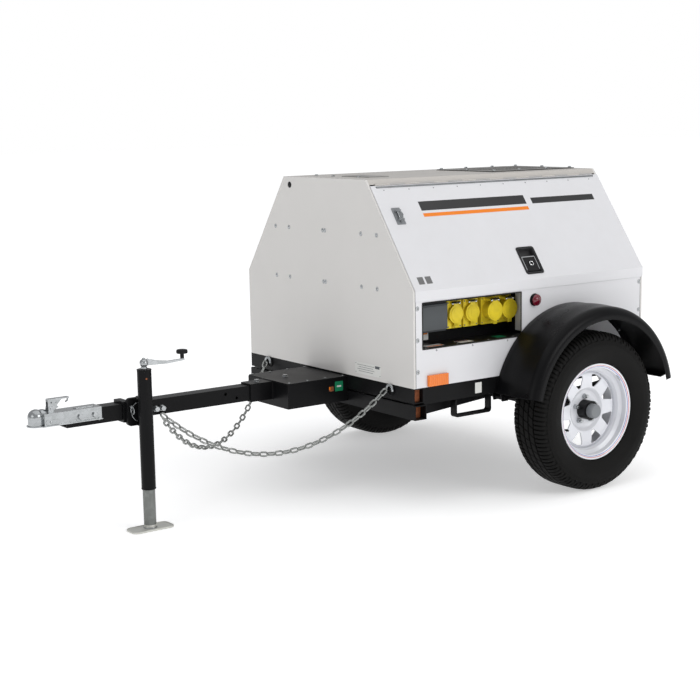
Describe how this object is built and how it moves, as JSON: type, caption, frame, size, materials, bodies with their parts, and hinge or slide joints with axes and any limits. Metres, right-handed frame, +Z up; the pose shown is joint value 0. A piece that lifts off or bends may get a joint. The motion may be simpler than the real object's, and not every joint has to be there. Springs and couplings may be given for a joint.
{
  "type": "towable diesel generator",
  "caption": "Single-axle towable diesel generator: sloped white canopy with lifting side doors, outlet recess, tongue with coupler, jack and safety chains.",
  "frame": {"origin": "on the ground, under the centre of the outer box", "axes": "-X is the towing direction, -Y the operator's side with the outlets, +Z up"},
  "size_m": [2.754, 1.6986, 1.3624],
  "materials": {
    "white_paint": "gloss powder coat",
    "grey_paint": "gloss powder coat",
    "black_frame": "semi-gloss powder coat",
    "black_plastic": "satin moulded",
    "tyre": "matt rubber",
    "zinc": "bright zinc plate",
    "rim_white": "gloss",
    "yellow": "moulded nylon",
    "grey_plastic": "moulded",
    "red_plastic": "moulded",
    "amber": "lens",
    "engine_paint": "painted",
    "alternator_paint": "painted",
    "black_rubber": "matt",
    "tank_plastic": "rotomoulded",
    "hatch_metal": "satin"
  },
  "bodies": {
    "chassis": {"skid_frame": "black_frame", "lower_frame": "black_frame", "tongue_tube": "black_frame", "tongue_box": "black_frame", "tongue_box_lid": "black_frame", "tongue_fasteners": "zinc", "coupler_body": "zinc", "jack_bracket": "black_frame", "chain_near": "zinc", "chain_far": "zinc", "chain_anchors": "zinc", "leaf_springs": "black_frame", "spring_hangers": "black_frame", "fenders": "black_plastic", "step_loops": "black_frame", "base_tray": "black_frame", "front_panel": "grey_paint", "rear_panel": "grey_paint", "side_panel_left": "white_paint", "side_panel_right": "white_paint", "roof_panel": "grey_paint", "roof_hatch": "hatch_metal", "door_hinges": "zinc", "canopy_fasteners": "zinc", "outlet_tray": "black_frame", "outlet_sockets": "yellow", "lamps": "amber", "engine": "engine_paint", "alternator": "alternator_paint", "cooling_pack": "engine_paint", "fuel_tank": "tank_plastic"},
    "axle": {"axle_beam": "black_frame", "spring_clamps": "zinc"},
    "wheel_left": {"tyre_left": "tyre", "rim_left": "rim_white", "hub_left": "black_frame", "lug_nuts_left": "zinc"},
    "wheel_right": {"tyre_right": "tyre", "rim_right": "rim_white", "hub_right": "black_frame", "lug_nuts_right": "zinc"},
    "jack": {"jack_outer_tube": "black_frame"},
    "jack_leg": {"jack_inner_leg": "zinc", "jack_foot": "zinc"},
    "crank": {"jack_crank": "zinc"},
    "crank_knob": {"jack_knob": "black_plastic"},
    "jack_pin": {"jack_pull_pin": "zinc"},
    "coupler_lever": {"coupler_latch": "zinc"},
    "left_door": {"door_left": "white_paint"},
    "right_door": {"door_right": "white_paint"},
    "left_latch": {"latch_left": "black_plastic"},
    "right_latch": {"latch_right": "black_plastic"},
    "cover_1": {"socket_cover_1": "yellow"},
    "cover_2": {"socket_cover_2": "yellow"},
    "cover_3": {"socket_cover_3": "yellow"},
    "cover_4": {"socket_cover_4": "yellow"},
    "flap": {"breaker_flap": "grey_plastic"},
    "stop": {"stop_button": "red_plastic"},
    "fan": {"cooling_fan": "grey_plastic"},
    "filler_cap": {"fuel_cap": "black_plastic"}
  },
  "joints": [
    {"name": "suspension", "type": "slide", "parent": "chassis", "child": "axle", "axis": [0, 0, 1], "range_m": [-0.02, 0.02], "stiffness_N_per_m": 90000, "springref_m": -0.0579, "deforming": ["leaf_springs"]},
    {"name": "wheel_left_spin", "type": "hinge", "parent": "axle", "child": "wheel_left", "pos_m": [0.864, -0.734, 0.344], "axis": [0, 1, 0], "continuous": true},
    {"name": "wheel_right_spin", "type": "hinge", "parent": "axle", "child": "wheel_right", "pos_m": [0.864, 0.734, 0.344], "axis": [0, 1, 0], "continuous": true},
    {"name": "jack_swivel", "type": "hinge", "parent": "chassis", "child": "jack", "pos_m": [-0.924, -0.04975, 0.472], "axis": [0, 1, 0], "range_deg": [0, 70]},
    {"name": "jack_leg_slide", "type": "slide", "parent": "jack", "child": "jack_leg", "axis": [0, 0, 1], "range_m": [-0.12, 0.15]},
    {"name": "crank_turn", "type": "hinge", "parent": "jack", "child": "crank", "pos_m": [-0.924, -0.105, 0.66], "axis": [0, 0, 1], "range_deg": [-1740, 2170]},
    {"name": "knob_spin", "type": "hinge", "parent": "crank", "child": "crank_knob", "pos_m": [-0.752, -0.105, 0.7], "axis": [0, 0, 1], "continuous": true},
    {"name": "jack_pin_pull", "type": "slide", "parent": "jack", "child": "jack_pin", "axis": [0, -1, 0], "range_m": [0, 0.014], "stiffness_N_per_m": 600},
    {"name": "coupler_lever_lift", "type": "hinge", "parent": "chassis", "child": "coupler_lever", "pos_m": [-1.283, 0, 0.52105], "axis": [0, -1, 0], "range_deg": [0, 60]},
    {"name": "left_door_lift", "type": "hinge", "parent": "chassis", "child": "left_door", "pos_m": [0.864, -0.3218, 1.32926], "axis": [-1, 0, 0], "range_deg": [0, 100]},
    {"name": "right_door_lift", "type": "hinge", "parent": "chassis", "child": "right_door", "pos_m": [0.864, 0.3218, 1.32926], "axis": [1, 0, 0], "range_deg": [0, 100]},
    {"name": "left_latch_pull", "type": "hinge", "parent": "left_door", "child": "left_latch", "pos_m": [0.702, -0.58675, 0.946], "axis": [1, 0, 0], "range_deg": [0, 35], "stiffness_Nm_per_rad": 1.2},
    {"name": "right_latch_pull", "type": "hinge", "parent": "right_door", "child": "right_latch", "pos_m": [0.702, 0.58675, 0.946], "axis": [-1, 0, 0], "range_deg": [0, 35], "stiffness_Nm_per_rad": 1.2},
    {"name": "cover_1_lift", "type": "hinge", "parent": "chassis", "child": "cover_1", "pos_m": [0.331, -0.5115, 0.832], "axis": [-1, 0, 0], "range_deg": [0, 90], "stiffness_Nm_per_rad": 0.08},
    {"name": "cover_2_lift", "type": "hinge", "parent": "chassis", "child": "cover_2", "pos_m": [0.422, -0.5115, 0.832], "axis": [-1, 0, 0], "range_deg": [0, 90], "stiffness_Nm_per_rad": 0.08},
    {"name": "cover_3_lift", "type": "hinge", "parent": "chassis", "child": "cover_3", "pos_m": [0.524, -0.5395, 0.832], "axis": [-1, 0, 0], "range_deg": [0, 90], "stiffness_Nm_per_rad": 0.08},
    {"name": "cover_4_lift", "type": "hinge", "parent": "chassis", "child": "cover_4", "pos_m": [0.611, -0.5355, 0.832], "axis": [-1, 0, 0], "range_deg": [0, 40], "stiffness_Nm_per_rad": 0.08},
    {"name": "flap_lift", "type": "hinge", "parent": "chassis", "child": "flap", "pos_m": [0.218, -0.506, 0.834], "axis": [-1, 0, 0], "range_deg": [0, 85], "stiffness_Nm_per_rad": 0.08},
    {"name": "stop_push", "type": "slide", "parent": "chassis", "child": "stop", "axis": [0, 1, 0], "range_m": [0, 0.006], "stiffness_N_per_m": 500},
    {"name": "fan_spin", "type": "hinge", "parent": "chassis", "child": "fan", "pos_m": [1.204, 0, 0.819], "axis": [1, 0, 0], "continuous": true},
    {"name": "filler_cap_turn", "type": "hinge", "parent": "chassis", "child": "filler_cap", "pos_m": [0.178, -0.33, 0.849], "axis": [0, 0, 1], "range_deg": [0, 120]}
  ],
  "couplings": [
    {"joint": "crank_turn", "follows": "jack_leg_slide", "rad_per_m": 251.33}
  ]
}
